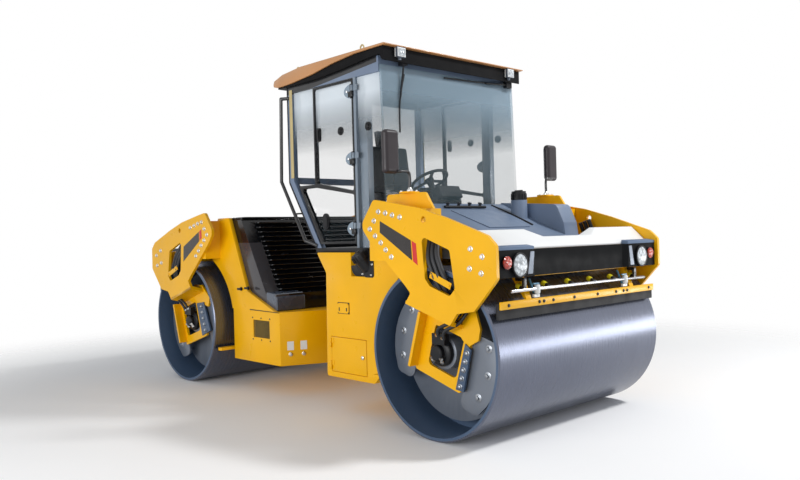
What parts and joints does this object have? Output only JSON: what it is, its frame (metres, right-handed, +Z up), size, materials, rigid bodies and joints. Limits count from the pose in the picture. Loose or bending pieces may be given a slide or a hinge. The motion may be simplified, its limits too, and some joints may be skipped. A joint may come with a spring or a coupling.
{
  "type": "tandem road roller",
  "caption": "Tandem vibratory road roller with smooth steel drums, an articulated oscillating frame, forked side plates and a glazed cab.",
  "frame": {"origin": "on the ground below the centre pivot, at the middle of the machine's box", "axes": "+X forward, +Y to the driver's left, +Z up"},
  "size_m": [5.1516, 2.25, 3.1378],
  "materials": {
    "yellow_paint": "gloss paint",
    "black_plastic": "satin black",
    "rubber": "matt",
    "lamp_lens": "clear moulded",
    "tank_plastic": "moulded grain",
    "pale_cover": "gloss",
    "bright_steel": "ground",
    "grey_steel": "satin",
    "roof_shell": "gloss",
    "glass": "tinted",
    "seat_vinyl": "vinyl",
    "black_tube": "satin black"
  },
  "bodies": {
    "front_frame": {"front_body": "yellow_paint", "front_plate_r": "yellow_paint", "front_plate_l": "yellow_paint", "front_beam": "yellow_paint", "front_fascia": "black_plastic", "front_lamps": "lamp_lens", "beam_cover": "pale_cover", "water_tank": "tank_plastic", "filler_caps": "black_plastic", "front_scraper": "yellow_paint", "front_blades": "rubber", "front_spray_bar": "bright_steel", "front_carriers": "grey_steel", "cab_floor": "black_plastic", "cab_frame": "tank_plastic", "cab_roof": "roof_shell", "roof_visor": "black_plastic", "front_glass": "glass", "side_glass": "glass", "rear_glass": "glass", "seat": "seat_vinyl", "console": "grey_steel", "mirrors": "black_plastic", "grab_rails": "black_tube", "work_lamps": "lamp_lens"},
    "hatch": {"hatch": "yellow_paint"},
    "door_r": {"door_r": "black_plastic", "door_r_glass": "glass"},
    "door_l": {"door_l": "black_plastic", "door_l_glass": "glass"},
    "centre_link": {"centre_link": "grey_steel"},
    "ram_barrel_r": {"ram_barrel_r": "grey_steel"},
    "ram_rod_r": {"ram_rod_r": "bright_steel"},
    "ram_barrel_l": {"ram_barrel_l": "grey_steel"},
    "ram_rod_l": {"ram_rod_l": "bright_steel"},
    "rear_frame": {"rear_body": "yellow_paint", "rear_plate_r": "yellow_paint", "rear_plate_l": "yellow_paint", "rear_beam": "yellow_paint", "rear_fascia": "black_plastic", "rear_lamps": "lamp_lens", "rear_tank": "tank_plastic", "engine": "grey_steel", "engine_cover": "black_plastic", "rear_scraper": "yellow_paint", "rear_blades": "rubber", "rear_spray_bar": "bright_steel", "rear_carriers": "grey_steel"},
    "hood_lid": {"hood_lid": "black_plastic"},
    "front_drum": {"front_drum": "bright_steel"},
    "rear_drum": {"rear_drum": "bright_steel"}
  },
  "joints": [
    {"name": "front_drum_spin", "type": "hinge", "parent": "front_frame", "child": "front_drum", "pos_m": [1.9, 0, 0.65], "axis": [0, 1, 0], "continuous": true},
    {"name": "steering", "type": "hinge", "parent": "front_frame", "child": "centre_link", "pos_m": [0, 0, 0.65], "axis": [0, 0, 1], "range_deg": [-35, 35]},
    {"name": "oscillation", "type": "hinge", "parent": "centre_link", "child": "rear_frame", "pos_m": [0, 0, 0.65], "axis": [1, 0, 0], "range_deg": [-8, 8]},
    {"name": "rear_drum_spin", "type": "hinge", "parent": "rear_frame", "child": "rear_drum", "pos_m": [-1.9, 0, 0.65], "axis": [0, 1, 0], "continuous": true},
    {"name": "ram_swing_r", "type": "hinge", "parent": "front_frame", "child": "ram_barrel_r", "pos_m": [0.64, -0.165, 0.53], "axis": [0, 0, 1], "range_deg": [-3, 3]},
    {"name": "ram_slide_r", "type": "slide", "parent": "ram_barrel_r", "child": "ram_rod_r", "axis": [-1, 0, 0], "range_m": [-0.1, 0.1]},
    {"name": "ram_swing_l", "type": "hinge", "parent": "front_frame", "child": "ram_barrel_l", "pos_m": [0.64, 0.165, 0.53], "axis": [0, 0, 1], "range_deg": [-3, 3]},
    {"name": "ram_slide_l", "type": "slide", "parent": "ram_barrel_l", "child": "ram_rod_l", "axis": [-1, 0, 0], "range_m": [-0.1, 0.1]},
    {"name": "door_r_hinge", "type": "hinge", "parent": "front_frame", "child": "door_r", "pos_m": [0.8425, -0.883, 2.2], "axis": [0, 0, 1], "range_deg": [0, 80]},
    {"name": "door_l_hinge", "type": "hinge", "parent": "front_frame", "child": "door_l", "pos_m": [0.8425, 0.883, 2.2], "axis": [0, 0, -1], "range_deg": [0, 80]},
    {"name": "hatch_hinge", "type": "hinge", "parent": "front_frame", "child": "hatch", "pos_m": [0.493, -0.911, 0.5], "axis": [0, 0, -1], "range_deg": [0, 100]},
    {"name": "hood_hinge", "type": "hinge", "parent": "rear_frame", "child": "hood_lid", "pos_m": [-1.367, 0, 1.752], "axis": [0, -1, 0], "range_deg": [0, 60]}
  ],
  "couplings": [
    {"joint": "ram_slide_r", "follows": "steering", "m_per_rad": -0.1565},
    {"joint": "ram_slide_l", "follows": "steering", "m_per_rad": 0.1565},
    {"joint": "ram_swing_r", "follows": "steering", "ratio": 0.0466},
    {"joint": "ram_swing_l", "follows": "steering", "ratio": 0.0466}
  ]
}
